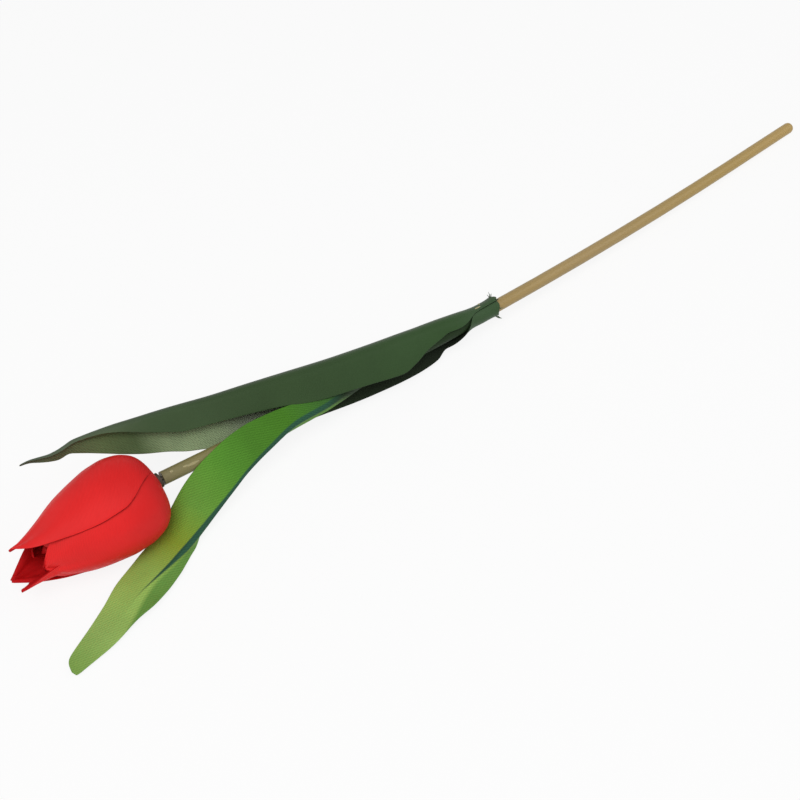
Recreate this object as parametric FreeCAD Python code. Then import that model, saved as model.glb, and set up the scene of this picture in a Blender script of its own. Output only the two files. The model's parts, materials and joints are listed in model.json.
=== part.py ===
import FreeCAD, Part
import math
import os

# An artificial tulip, lying on its side on a table: a closed red bloom of six cloth petals on a
# plastic tube stem, with two cloth leaves wrapped round the stem. Millimetres. +Z is up, the bloom
# points to -X and the stem's domed foot to +X. It rests on the foot, the bloom's belly and the
# lower leaf. The origin is under the middle of the whole flower, on the table.

Vector = FreeCAD.Vector

# Driving dimensions of the stem
STEM_DIAMETER = 5.0
STEM_BORE = 2.0
FOOT_RUN = 45.0
UPPER_RUN = 147.5
BEND_ANGLE = 7.0
BEND_LEAN = 10.0
FOOT_WALL = 10.0
WIRE_DIAMETER = 1.8
NECK_BEND_RADIUS = 10.0
NECK_HEIGHT = 17.3

# Driving dimensions of the bloom
BLOOM_LENGTH = 58.0
BLOOM_RADIUS = 17.0
BLOOM_DROOP = 3.0
BLOOM_YAW = 2.0
PETAL_WALL = 0.5
PETAL_TUCK = 0.45
WHORL_GAP = 0.15
CORE_GAP = 0.15
NECK_HOLE = 3.0

# Driving dimensions of the plug that carries the petals
HUB_RADIUS = 2.8
HUB_LENGTH = 8.0
HUB_STUB = 0.45
SEAT_RADIUS = 6.0
SEAT_WALL = 0.9
SOCKET_DEPTH = 7.0
SOCKET_CLEARANCE = 0.05
CORE_CLEARANCE = 0.15
CORE_REACH = 40.0

# Driving dimensions of the leaves
CLOTH = 0.5
LEAF_BASE = 197.5
SHEATH_LENGTH = 13.5
BLADE_GAP = 0.35
LONG_LEAF_LENGTH = 173.0
LONG_LEAF_WIDTH = 34.0
LONG_LEAF_LEAN = 45.0
SHORT_LEAF_CLASP = 72.5
SHORT_LEAF_LENGTH = 134.0
SHORT_LEAF_WIDTH = 22.0
SLEEVE_CLEARANCE = 0.05
RIB_DIAMETER = 0.8
RIB_CLEARANCE = 0.3
RIB_RUNS = 36
FOLD_GAP = 0.62

# Driving dimensions of the glue at the leaves' base
GLUE_WIDTH = 1.4
GLUE_HEIGHT = 0.5
GLUE_CLEARANCE = 0.15

# Outline of the closed bloom as shares of its length and of its radius
BLOOM_LENGTH_SHARES = (0, 0.012, 0.035, 0.07, 0.14, 0.24, 0.31, 0.43, 0.57, 0.72, 0.86, 0.94, 1.0)
BLOOM_RADIUS_SHARES = (0.215, 0.36, 0.56, 0.725, 0.895, 0.99, 1.0, 0.95, 0.84, 0.665, 0.50, 0.42, 0.37)
# How far each petal reaches to either side of its own middle, in degrees, at the same places
PETAL_HALF_ANGLES = (50, 50, 50, 50, 60, 79, 82, 80, 75, 65, 48, 28, 5)

# Each petal: name, roll of its middle about the bloom's axis from straight up towards +Y,
# its length as a share of the bloom's, and how far its tip leans in, as a share of the radius; a
# share below nought stands out
OUTER_PETALS = (
    ("outer_petal_1", 41, 0.96, -0.08),
    ("outer_petal_2", -79, 0.88, 0.08),
    ("outer_petal_3", 161, 0.97, -0.06),
)
INNER_PETALS = (
    ("inner_petal_1", -19, 0.86, 0.10),
    ("inner_petal_2", 101, 0.90, 0.10),
    ("inner_petal_3", -139, 1.01, 0.10),
)

# The long leaf is a trough whose mouth faces the table and the viewer. Each row: run along the stem
# as a share of the leaf's length; height of the fold above the stem's axis, sideways place of the
# trough's middle, length of the front flap, radius of the fold and height of the back wall, as
# shares of the leaf's width; then the turn of the fold in degrees.
LONG_LEAF_SHARES = (
    (0.000, 0.156, 0.000, 0.085, 0.140, 0.105, 174),
    (0.049, 0.188, 0.000, 0.158, 0.128, 0.228, 175),
    (0.119, 0.227, 0.000, 0.239, 0.122, 0.333, 176),
    (0.200, 0.276, -0.003, 0.300, 0.123, 0.400, 176),
    (0.292, 0.332, -0.003, 0.290, 0.123, 0.418, 176),
    (0.396, 0.403, 0.000, 0.280, 0.121, 0.412, 176),
    (0.500, 0.477, 0.018, 0.244, 0.103, 0.450, 176),
    (0.599, 0.542, 0.053, 0.236, 0.082, 0.470, 176),
    (0.685, 0.608, 0.106, 0.240, 0.065, 0.430, 174),
    (0.772, 0.660, 0.147, 0.135, 0.050, 0.322, 165),
    (0.848, 0.698, 0.176, 0.018, 0.038, 0.206, 120),
    (0.910, 0.714, 0.176, 0.012, 0.029, 0.100, 90),
    (0.960, 0.704, 0.162, 0.012, 0.021, 0.034, 60),
    (1.000, 0.676, 0.147, 0.009, 0.012, 0.012, 40),
)
FLAP_BULGE = 3.0
WALL_BULGE = 3.0

# The short leaf leaves the stem sideways and comes down to the table. Each row: place of its fold
# from the clasp's end as shares of the leaf's length, along the stem, to the far side beyond the
# stem's surface and up; width of the broad half and of the narrow half and radius of the fold as
# shares of the leaf's width; the slope of the broad half, the turn of the fold and the turn of the
# narrow half, in degrees.
SHORT_LEAF_SHARES = (
    (0.003, 0, -0.002, 0.050, 0.030, 0.030, 53, 50, 2),
    (0.080, -0.006, 0.000, 0.075, 0.060, 0.034, 51, 50, 2),
    (0.154, -0.009, -0.002, 0.190, 0.110, 0.038, 50, 52, 2),
    (0.268, -0.025, -0.028, 0.585, 0.180, 0.040, 53, 66, 3),
    (0.344, -0.040, -0.050, 0.673, 0.170, 0.041, 52, 66, 4),
    (0.404, -0.058, -0.068, 0.655, 0.140, 0.041, 50, 64, 8),
    (0.525, -0.101, -0.093, 0.590, 0.080, 0.041, 12, 60, 20),
    (0.585, -0.122, -0.0990, 0.550, 0.120, 0.041, -7, 50, 28),
    (0.648, -0.141, -0.1045, 0.550, 0.200, 0.041, -6, 40, 34),
    (0.757, -0.168, -0.1135, 0.425, 0.310, 0.041, -4, 28, 24),
    (0.875, -0.213, -0.1318, 0.355, 0.170, 0.032, -2, 10, 8),
    (0.974, -0.248, -0.1415, 0.235, 0.070, 0.014, -1, 6, 4),
)
BROAD_BULGE = 6.0

# The clasp of the short leaf is a gutter round the near side of the stem, in degrees
CLASP_WRAP = 250.0
# The sheath of the long leaf is a spiral of quarter turns; its free edge runs on a slant
SHEATH_RADIUS_SHARES = (1.00, 1.042, 1.084, 1.126, 1.17)
SHEATH_LAST_TURNS = (50.0, 12.0)

# Worked out from the sizes above; the bloom stays at its place beside the leaves
BEND_RUN = LEAF_BASE + UPPER_RUN - FOOT_RUN
STEM_RADIUS = STEM_DIAMETER / 2
WHORL_INSET = 3 * PETAL_TUCK + PETAL_WALL + WHORL_GAP
CORE_INSET = WHORL_INSET + PETAL_WALL + PETAL_TUCK + CORE_GAP
UP = Vector(0, 0, 1)


def unit(vector):
    return vector * (1 / vector.Length)


def level_axes(tangent, upward=UP):
    """The sideways and the upward direction square to a tangent."""
    rise = unit(upward - tangent * upward.dot(tangent))
    return tangent.cross(rise), rise


def direction(yaw, pitch):
    """A direction near -X, turned by yaw towards +Y and by pitch upwards, in degrees."""
    yaw, pitch = math.radians(yaw), math.radians(pitch)
    return Vector(-math.cos(pitch) * math.cos(yaw), math.cos(pitch) * math.sin(yaw), math.sin(pitch))


# The stem's path: straight from the foot, then one long gentle bend
BLOOM_AXIS = direction(BLOOM_YAW, -BLOOM_DROOP)
BEND_RADIUS = BEND_RUN / math.radians(BEND_ANGLE)
BEND_RISE = (BEND_RADIUS * (1 - math.cos(math.radians(BEND_ANGLE)))
             * math.sin(math.radians(BEND_LEAN)))
STEM_PITCH = math.degrees(math.asin((NECK_HEIGHT - STEM_RADIUS - BEND_RISE) / (FOOT_RUN + BEND_RUN)))
FOOT_AXIS = direction(0, STEM_PITCH)
FOOT_POINT = Vector(0, 0, STEM_RADIUS)


def bend_side():
    """The direction that the stem's long bend turns towards."""
    side, rise = level_axes(FOOT_AXIS)
    lean = math.radians(BEND_LEAN)
    return side * math.cos(lean) + rise * math.sin(lean)


def stem_place(run):
    """Point and direction of the stem's axis at a run from the foot, straight on past its end."""
    if run <= FOOT_RUN:
        return FOOT_POINT + FOOT_AXIS * run, FOOT_AXIS
    angle = min((run - FOOT_RUN) / BEND_RADIUS, math.radians(BEND_ANGLE))
    point = (FOOT_POINT + FOOT_AXIS * (FOOT_RUN + BEND_RADIUS * math.sin(angle))
             + bend_side() * (BEND_RADIUS * (1 - math.cos(angle))))
    tangent = unit(FOOT_AXIS * math.cos(angle) + bend_side() * math.sin(angle))
    return point + tangent * max(run - FOOT_RUN - BEND_RUN, 0), tangent


def stem_path(start):
    """The path's edges from a run from the foot up to the neck."""
    first, straight_end = stem_place(start)[0], stem_place(FOOT_RUN)[0]
    middle, end = stem_place(FOOT_RUN + BEND_RUN / 2)[0], stem_place(FOOT_RUN + BEND_RUN)[0]
    return [Part.LineSegment(first, straight_end).toShape(), Part.Arc(straight_end, middle, end).toShape()]


def sweep_disc(edges, radius, start, tangent):
    """A round bar along edges."""
    circle = Part.Wire([Part.Circle(start, tangent, radius).toShape()])
    return Part.Wire(edges).makePipeShell([circle], True, False)


# The neck: the core wire bends from the stem's direction to the bloom's axis
NECK_POINT, NECK_TANGENT = stem_place(FOOT_RUN + BEND_RUN)
NECK_TURN = math.acos(NECK_TANGENT.dot(BLOOM_AXIS))
NECK_REACH = NECK_BEND_RADIUS * math.tan(NECK_TURN / 2)
BLOOM_BASE = NECK_POINT + NECK_TANGENT * NECK_REACH + BLOOM_AXIS * NECK_REACH


def make_stem_tube():
    """Plastic tube with a domed, closed foot and an open end at the neck."""
    foot, tangent = stem_place(0)
    tube = sweep_disc(stem_path(0), STEM_RADIUS, foot, tangent)
    dome = Part.makeSphere(STEM_RADIUS, foot)
    bore_start, tangent = stem_place(FOOT_WALL)
    bore = sweep_disc(stem_path(FOOT_WALL), STEM_BORE / 2, bore_start, tangent)
    return tube.fuse(dome).removeSplitter().cut(bore)


def make_stem_wire():
    """Steel core wire through the tube, bent at the neck and on into the bloom's socket."""
    first_run = FOOT_WALL + WIRE_DIAMETER
    corner = NECK_POINT + NECK_TANGENT * NECK_REACH
    inward = unit(unit(BLOOM_AXIS - NECK_TANGENT))
    centre = corner + inward * (NECK_BEND_RADIUS / math.cos(NECK_TURN / 2))
    middle = centre - inward * NECK_BEND_RADIUS
    socket_end = BLOOM_BASE + BLOOM_AXIS * (SOCKET_DEPTH - WIRE_DIAMETER / 2)
    edges = stem_path(first_run)
    edges.append(Part.Arc(NECK_POINT, middle, BLOOM_BASE).toShape())
    edges.append(Part.LineSegment(BLOOM_BASE, socket_end).toShape())
    start, tangent = stem_place(first_run)
    return sweep_disc(edges, WIRE_DIAMETER / 2, start, tangent)


# The bloom's own frame: Z along its axis to the tips, X upwards, Y to the far side
def bloom_placement():
    side, rise = level_axes(BLOOM_AXIS)
    matrix = FreeCAD.Matrix(
        rise.x, side.x, BLOOM_AXIS.x, BLOOM_BASE.x,
        rise.y, side.y, BLOOM_AXIS.y, BLOOM_BASE.y,
        rise.z, side.z, BLOOM_AXIS.z, BLOOM_BASE.z,
        0, 0, 0, 1)
    return FreeCAD.Placement(matrix)


def bloom_outline(inset):
    """The bloom's outline moved inwards by an inset, as pairs of distance along and radius."""
    points = [(length * BLOOM_LENGTH, radius * BLOOM_RADIUS)
              for length, radius in zip(BLOOM_LENGTH_SHARES, BLOOM_RADIUS_SHARES)]
    moved = []
    for index, (along, radius) in enumerate(points):
        before, after = points[max(index - 1, 0)], points[min(index + 1, len(points) - 1)]
        run, climb = after[0] - before[0], after[1] - before[1]
        slope = math.hypot(run, climb)
        moved.append((along + inset * climb / slope, radius - inset * run / slope))
    return moved


def bloom_radius(along, inset):
    """Radius of the inset outline at a distance along the axis, or the neck hole's below its start."""
    outline = bloom_outline(inset)
    if along < outline[0][0]:
        return NECK_HOLE
    for (low, low_radius), (high, high_radius) in zip(outline, outline[1:]):
        if along <= high:
            return low_radius + (high_radius - low_radius) * (along - low) / (high - low)
    return outline[-1][1]


def bloom_along(radius, inset):
    """Distance along the axis at which the inset outline first reaches a radius."""
    outline = bloom_outline(inset)
    for (low, low_radius), (high, high_radius) in zip(outline, outline[1:]):
        if radius <= high_radius:
            return low + (high - low) * max(radius - low_radius, 0) / (high_radius - low_radius)
    return outline[-1][0]


def petal_arc(along, radius, centre_roll, half_angle, tuck):
    """Three points of a petal's arc; its circle is shifted so that one edge stands out."""
    shift = math.radians(centre_roll - 90)
    centre = Vector(tuck * math.cos(shift), tuck * math.sin(shift), along)
    points = []
    for roll in (centre_roll - half_angle, centre_roll, centre_roll + half_angle):
        angle = math.radians(roll)
        points.append(centre + Vector(radius * math.cos(angle), radius * math.sin(angle), 0))
    return points


def make_petal(roll, length_share, lean_share, inset):
    """One cloth petal: a thin pointed shell that laps over one neighbour and under the other."""
    sections = []
    for length, half_angle in zip(BLOOM_LENGTH_SHARES, PETAL_HALF_ANGLES):
        # only the upper part of a longer petal is drawn out, so that the laps run side by side
        drawn_out = 1 + (length_share - 1) * length ** 4
        along = max(length * BLOOM_LENGTH * drawn_out, inset * (1 + length))
        outside = bloom_radius(along, inset)
        inside = bloom_radius(along, inset + PETAL_WALL)
        if outside - inside < PETAL_WALL:
            outside = inside + PETAL_WALL
        lean = lean_share * BLOOM_RADIUS * max((length - 0.7) / 0.3, 0) ** 2
        tuck = PETAL_TUCK * min((inside - NECK_HOLE) / (BLOOM_RADIUS - NECK_HOLE) * 2.5, 1)
        outer = petal_arc(along, outside - lean, roll, half_angle, tuck)
        inner = petal_arc(along, inside - lean, roll, half_angle, tuck)
        sections.append(Part.Wire([
            Part.Arc(*outer).toShape(),
            Part.LineSegment(outer[2], inner[2]).toShape(),
            Part.Arc(*reversed(inner)).toShape(),
            Part.LineSegment(inner[0], outer[0]).toShape()]))
    return Part.makeLoft(sections, True, False)


def revolved(points):
    """A solid turned about the bloom's axis from pairs of radius and distance along."""
    outline = Part.makePolygon([Vector(radius, 0, along) for radius, along in points + points[:1]])
    return Part.Face(outline).revolve(Vector(0, 0, 0), UP, 360)


def make_plug():
    """Plastic plug: a hub on the core wire, with the round seat that the petals are glued under."""
    socket = WIRE_DIAMETER / 2 + SOCKET_CLEARANCE
    seat = [(radius, bloom_along(radius, CORE_INSET)) for radius in
            (HUB_RADIUS, (HUB_RADIUS + SEAT_RADIUS) / 2, SEAT_RADIUS)]
    rim = seat[-1][1] + SEAT_WALL
    return revolved(
        [(socket, -HUB_STUB), (HUB_RADIUS, -HUB_STUB)] + seat
        + [(SEAT_RADIUS, rim), (HUB_RADIUS, rim), (HUB_RADIUS, HUB_LENGTH),
           (0, HUB_LENGTH), (0, SOCKET_DEPTH), (socket, SOCKET_DEPTH)])


def make_bud_core():
    """Foam core that keeps the bloom's belly full; the plug's hub is pushed into it."""
    inset = CORE_INSET
    low = bloom_along(SEAT_RADIUS, inset) + SEAT_WALL + CORE_GAP
    pocket = HUB_RADIUS + CORE_CLEARANCE
    rim = [(bloom_radius(along, inset), along) for along in
           [low + (CORE_REACH - low) * share for share in (0, 0.06, 0.16, 0.3, 0.45, 0.6, 0.75)]]
    top_radius, top_start = rim[-1]
    curve = Part.BSplineCurve()
    points = [Vector(radius, 0, along) for radius, along in rim]
    points.append(Vector(top_radius * 0.62, 0, top_start + (CORE_REACH - top_start) * 0.75))
    points.append(Vector(0, 0, CORE_REACH))
    curve.interpolate(points)
    roof = HUB_LENGTH + CORE_CLEARANCE
    corners = [Vector(0, 0, CORE_REACH), Vector(0, 0, roof), Vector(pocket, 0, roof),
               Vector(pocket, 0, low), points[0]]
    edges = [curve.toShape()]
    edges += [Part.LineSegment(a, b).toShape() for a, b in zip(corners, corners[1:])]
    return Part.Face(Part.Wire(edges)).revolve(Vector(0, 0, 0), UP, 360)


# Cloth sections: arcs that run on from each other, with the cloth's thickness to both sides
def cloth_arcs(arcs, fold_index, heading):
    """Points and headings of a chain of (length, turn) arcs, set by the middle of one of them."""
    x = y = 0
    angle = 0
    places = []
    for length, turn in arcs:
        radius = length / math.radians(turn)
        stops = []
        for share in (0, 0.5, 1):
            passed = angle + math.radians(turn) * share
            stops.append((x + radius * (math.sin(passed) - math.sin(angle)),
                          y - radius * (math.cos(passed) - math.cos(angle)), passed))
        places.append(stops)
        x, y, angle = stops[2]
    fold_x, fold_y, fold_angle = places[fold_index][1]
    twist = math.radians(heading) - fold_angle
    turned = []
    for stops in places:
        turned.append([((px - fold_x) * math.cos(twist) - (py - fold_y) * math.sin(twist),
                        (px - fold_x) * math.sin(twist) + (py - fold_y) * math.cos(twist),
                        pa + twist) for px, py, pa in stops])
    return turned


def cloth_section(point, side, rise, arcs, fold_index, heading, thickness=CLOTH):
    """The closed wire round a cloth section that stands in the plane of side and rise."""
    def spot(stop, offset):
        x, y, angle = stop
        return (point + side * (x - offset * math.sin(angle)) + rise * (y + offset * math.cos(angle)))

    chain = cloth_arcs(arcs, fold_index, heading)
    half = thickness / 2
    edges = [Part.Arc(*[spot(stop, half) for stop in stops]).toShape() for stops in chain]
    edges.append(Part.LineSegment(spot(chain[-1][2], half), spot(chain[-1][2], -half)).toShape())
    edges += [Part.Arc(*[spot(stop, -half) for stop in reversed(stops)]).toShape()
              for stops in reversed(chain)]
    edges.append(Part.LineSegment(spot(chain[0][0], -half), spot(chain[0][0], half)).toShape())
    return Part.Wire(edges)


def trough_axes(tangent):
    """Sideways and rise directions of the long leaf's trough, which leans back."""
    side, rise = level_axes(tangent)
    lean = math.radians(LONG_LEAF_LEAN)
    lean_rise = rise * math.cos(lean) + side * math.sin(lean)
    return tangent.cross(lean_rise), lean_rise


def long_leaf_station(row):
    """Fold point, axes and arcs of one station of the long leaf."""
    run, height, middle, flap, fold, wall, turn = row
    start = LEAF_BASE + SHEATH_LENGTH + BLADE_GAP
    axis_point, tangent = stem_place(start + run * LONG_LEAF_LENGTH)
    side, rise = trough_axes(tangent)
    point = axis_point + rise * (height * LONG_LEAF_WIDTH) + side * (middle * LONG_LEAF_WIDTH)
    fold_length = math.radians(turn) * fold * LONG_LEAF_WIDTH
    arcs = ((flap * LONG_LEAF_WIDTH, -FLAP_BULGE), (fold_length, -turn),
            (wall * LONG_LEAF_WIDTH, -WALL_BULGE))
    return point, side, rise, arcs, tangent


def make_long_leaf_blade():
    """The long leaf's free blade, a folded trough that thins out to a pointed tip."""
    sections = []
    for row in LONG_LEAF_SHARES:
        point, side, rise, arcs, tangent = long_leaf_station(row)
        sections.append(cloth_section(point, side, rise, arcs, 1, 0))
    return Part.makeLoft(sections, True, False)


def short_leaf_points():
    """The fold line of the short leaf from the end of its clasp to the tip."""
    start, tangent = stem_place(LEAF_BASE + SHORT_LEAF_CLASP)
    side, rise = level_axes(tangent)
    start = start - side * (STEM_RADIUS + CLOTH + FOLD_GAP)
    return [start + (tangent * row[0] + side * row[1] + rise * row[2]) * SHORT_LEAF_LENGTH
            for row in SHORT_LEAF_SHARES]


def short_leaf_stations():
    """Fold point, axes, arcs and heading of each station of the short leaf."""
    points = short_leaf_points()
    stations = []
    for index, (point, row) in enumerate(zip(points, SHORT_LEAF_SHARES)):
        before, after = points[max(index - 1, 0)], points[min(index + 1, len(points) - 1)]
        tangent = unit(after - before)
        side, rise = level_axes(tangent)
        broad, narrow, fold, slope, turn, spread = row[3:]
        width = SHORT_LEAF_WIDTH
        arcs = ((broad * width, BROAD_BULGE), (math.radians(turn) * fold * width, turn),
                (narrow * width, -spread))
        heading = 180 + slope + turn / 2
        stations.append((point, side, rise, arcs, heading))
    return stations


def make_short_leaf_blade():
    """The short leaf's free blade: a broad half, a sharp fold and a narrow half turned under."""
    sections = [cloth_section(point, side, rise, arcs, 1, heading)
                for point, side, rise, arcs, heading in short_leaf_stations()]
    return Part.makeLoft(sections, True, False)


def rib_along(points):
    """A thin round wire along a smooth line through points, made of short straight runs."""
    line = Part.BSplineCurve()
    line.interpolate(points)
    first, last = line.FirstParameter, line.LastParameter
    rings = []
    for step in range(RIB_RUNS + 1):
        place = first + (last - first) * step / RIB_RUNS
        point = line.value(place)
        side, rise = level_axes(unit(line.tangent(place)[0]))
        right, left = point + side * (RIB_DIAMETER / 2), point - side * (RIB_DIAMETER / 2)
        top, bottom = point + rise * (RIB_DIAMETER / 2), point - rise * (RIB_DIAMETER / 2)
        rings.append(Part.Wire([Part.Arc(right, top, left).toShape(), Part.Arc(left, bottom, right).toShape()]))
    return Part.makeLoft(rings, True, True)


def make_long_leaf_rib():
    """Wire glued under the long leaf's fold."""
    drop = CLOTH / 2 + RIB_CLEARANCE + RIB_DIAMETER / 2
    places = []
    for row in LONG_LEAF_SHARES[:-4]:
        point, side, rise, arcs, tangent = long_leaf_station(row)
        places.append(point - rise * drop)
    return rib_along(places)


def make_short_leaf_rib():
    """Wire glued under the short leaf's fold; it ends where the fold flattens out."""
    drop = CLOTH / 2 + RIB_CLEARANCE + RIB_DIAMETER / 2
    places = []
    for point, side, rise, arcs, heading in short_leaf_stations()[1:-2]:
        inward = math.radians(heading + 90)
        places.append(point + (side * math.cos(inward) + rise * math.sin(inward)) * drop)
    return rib_along(places)


def make_short_leaf_sheath():
    """The foot of the short leaf, a gutter glued to the near side of the stem."""
    radius = STEM_RADIUS + SLEEVE_CLEARANCE + CLOTH / 2
    half_wrap = CLASP_WRAP / 2
    arcs = ((math.radians(half_wrap) * radius, half_wrap), (math.radians(half_wrap) * radius, half_wrap))
    sections = []
    for share in (0, 0.5, 1):
        start = LEAF_BASE + GLUE_WIDTH
        end = LEAF_BASE + SHORT_LEAF_CLASP
        axis_point, tangent = stem_place(start + (end - start) * share)
        side, rise = trough_axes(tangent)
        # the first of the two arcs ends on the near side of the stem
        middle = 180 - half_wrap / 2
        rim = side * math.cos(math.radians(middle)) + rise * math.sin(math.radians(middle))
        sections.append(cloth_section(axis_point + rim * radius, side, rise, arcs, 0, middle + 90))
    return Part.makeLoft(sections, True, False)


def make_long_leaf_sheath():
    """The foot of the long leaf, wrapped a little over once round the stem and the clasp."""
    inner = STEM_RADIUS + SLEEVE_CLEARANCE + CLOTH + SLEEVE_CLEARANCE + CLOTH / 2
    sections = []
    for share, last_turn in zip((0, 1), SHEATH_LAST_TURNS):
        axis_point, tangent = stem_place(LEAF_BASE + SHEATH_LENGTH * share)
        side, rise = trough_axes(tangent)
        turns = (90, 90, 90, 90, last_turn)
        arcs = [(math.radians(turn) * inner * radius, -turn)
                for turn, radius in zip(turns, SHEATH_RADIUS_SHARES)]
        first_middle = math.radians(225 + 90)
        rim = side * math.cos(first_middle) + rise * math.sin(first_middle)
        point = axis_point + rim * (inner * SHEATH_RADIUS_SHARES[0])
        sections.append(cloth_section(point, side, rise, arcs, 0, 225))
    return Part.makeLoft(sections, True, True)


def make_sheath_glue():
    """Hot glue: a ring round the stem against the sheath's cut edge, and a drop on the wrap."""
    ring_start, tangent = stem_place(LEAF_BASE - GLUE_WIDTH)
    low = STEM_RADIUS + GLUE_CLEARANCE
    ring = Part.makeCone(low + GLUE_HEIGHT / 4, low + GLUE_HEIGHT, GLUE_WIDTH - GLUE_CLEARANCE,
                         ring_start, tangent)
    ring = ring.cut(Part.makeCylinder(low, GLUE_WIDTH, ring_start, tangent))
    return ring


def build_parts():
    """Every sub-part by the name of its node."""
    place = bloom_placement()
    parts = {
        "stem_tube": make_stem_tube(),
        "stem_wire": make_stem_wire(),
        "long_leaf_sheath": make_long_leaf_sheath(),
        "short_leaf_sheath": make_short_leaf_sheath(),
        "sheath_glue": make_sheath_glue(),
        "long_leaf_blade": make_long_leaf_blade(),
        "long_leaf_rib": make_long_leaf_rib(),
        "short_leaf_blade": make_short_leaf_blade(),
        "short_leaf_rib": make_short_leaf_rib(),
    }
    bloom = {"bloom_plug": make_plug(), "bud_core": make_bud_core()}
    for name, roll, length_share, lean_share in OUTER_PETALS:
        bloom[name] = make_petal(roll, length_share, lean_share, PETAL_TUCK)
    for name, roll, length_share, lean_share in INNER_PETALS:
        bloom[name] = make_petal(roll, length_share, lean_share, WHORL_INSET)
    for name, shape in bloom.items():
        parts[name] = shape.transformGeometry(place.toMatrix())
    return parts


def centre_on_table(parts):
    """Move everything so that the origin is under the middle, on the table."""
    bounds = FreeCAD.BoundBox()
    for shape in parts.values():
        bounds.add(shape.optimalBoundingBox())
    shift = Vector(-bounds.Center.x, -bounds.Center.y, -bounds.ZMin)
    for shape in parts.values():
        shape.translate(shift)
    return shift, bounds


def joint_places():
    """Where the moving pieces turn and where the foot is held: name, point and axis."""
    base_point, tangent = stem_place(LEAF_BASE + SHEATH_LENGTH)
    side, rise = trough_axes(tangent)
    fold = base_point + rise * (LONG_LEAF_SHARES[0][1] * LONG_LEAF_WIDTH)
    mouth = short_leaf_points()[0]
    return [("bloom_turn", BLOOM_BASE, BLOOM_AXIS), ("long_leaf_bend", fold, side),
            ("short_leaf_bend", mouth, UP), ("foot", stem_place(FOOT_RUN / 2)[0], FOOT_AXIS * -1),
            ("leaf tangent", base_point, tangent)]


def main():
    os.makedirs("parts", exist_ok=True)
    parts = build_parts()
    for name, shape in parts.items():
        lowest = shape.optimalBoundingBox().ZMin
        print(name, "valid", shape.isValid(), "volume", round(shape.Volume, 1), "lowest", round(lowest, 2))
    shift, bounds = centre_on_table(parts)
    print("shift", shift, "size", bounds.XLength, bounds.YLength, bounds.ZLength)
    for name, point, axis in joint_places():
        print(name, point + shift, axis)
    for name, shape in parts.items():
        shape.exportStep(f"parts/{name}.step")


main()
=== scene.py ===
# %% [markdown]
# # An artificial tulip lying on a table
# The flower is made of few things: a plastic tube stem with a wire in it, two cloth leaves that are
# wrapped round the stem, and a closed bloom of six cloth petals round a foam bud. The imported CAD
# model gives the stem, the joints and the overall size. This lesson dresses it: the stem, the wire
# and the hidden plug keep their CAD shapes and get materials, and every piece of cloth is made again
# as a real sheet.

# %% Load the frame
import json
import math

import bmesh
import bpy
import numpy as np
from mathutils import Matrix, Vector


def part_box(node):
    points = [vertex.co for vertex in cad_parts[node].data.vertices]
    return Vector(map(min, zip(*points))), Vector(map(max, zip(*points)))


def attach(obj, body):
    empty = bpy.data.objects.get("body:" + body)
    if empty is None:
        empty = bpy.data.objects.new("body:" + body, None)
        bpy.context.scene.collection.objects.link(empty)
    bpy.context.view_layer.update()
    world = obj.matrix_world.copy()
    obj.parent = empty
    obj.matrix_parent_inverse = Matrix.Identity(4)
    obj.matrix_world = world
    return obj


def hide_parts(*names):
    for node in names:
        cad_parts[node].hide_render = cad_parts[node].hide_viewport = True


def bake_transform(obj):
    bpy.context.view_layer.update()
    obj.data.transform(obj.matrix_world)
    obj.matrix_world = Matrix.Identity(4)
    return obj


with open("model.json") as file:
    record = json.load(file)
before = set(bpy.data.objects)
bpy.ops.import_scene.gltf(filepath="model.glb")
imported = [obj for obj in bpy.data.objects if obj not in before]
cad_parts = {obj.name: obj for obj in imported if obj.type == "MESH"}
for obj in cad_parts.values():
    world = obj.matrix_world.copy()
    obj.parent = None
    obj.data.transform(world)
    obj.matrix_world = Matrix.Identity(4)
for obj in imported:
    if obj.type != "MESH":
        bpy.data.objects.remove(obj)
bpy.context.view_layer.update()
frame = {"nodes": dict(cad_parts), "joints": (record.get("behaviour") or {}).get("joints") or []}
MM = 0.001
UP = Vector((0, 0, 1))

# %% [markdown]
# ## The stem's line
# Cloth is placed by how far along the stem it is, so the first thing needed is the stem's own line.
# On the real flower it is straight at the foot and then bends very gently. The same few numbers as
# in the CAD describe it: a straight run and one long arc.

# %% The stem's line
STEM_RADIUS = 2.5 * MM
FOOT_RUN = 45 * MM
BEND_RUN = 300 * MM
BEND_ANGLE = math.radians(7.0)
BEND_LEAN = math.radians(10.0)
NECK_HEIGHT = 17.3 * MM
BEND_RADIUS = BEND_RUN / BEND_ANGLE

tube_low, tube_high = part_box("stem_tube")
FOOT_POINT = Vector((tube_high.x - STEM_RADIUS, tube_low.y + STEM_RADIUS, tube_low.z + STEM_RADIUS))
bend_rise = BEND_RADIUS * (1 - math.cos(BEND_ANGLE)) * math.sin(BEND_LEAN)
STEM_PITCH = math.asin((NECK_HEIGHT - STEM_RADIUS - bend_rise) / (FOOT_RUN + BEND_RUN))
FOOT_AXIS = Vector((-math.cos(STEM_PITCH), 0, math.sin(STEM_PITCH)))


def level_axes(tangent):
    """The sideways and the upward direction square to a tangent."""
    rise = (UP - tangent * UP.dot(tangent)).normalized()
    return tangent.cross(rise), rise


foot_side, foot_rise = level_axes(FOOT_AXIS)
BEND_SIDE = foot_side * math.cos(BEND_LEAN) + foot_rise * math.sin(BEND_LEAN)


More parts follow.
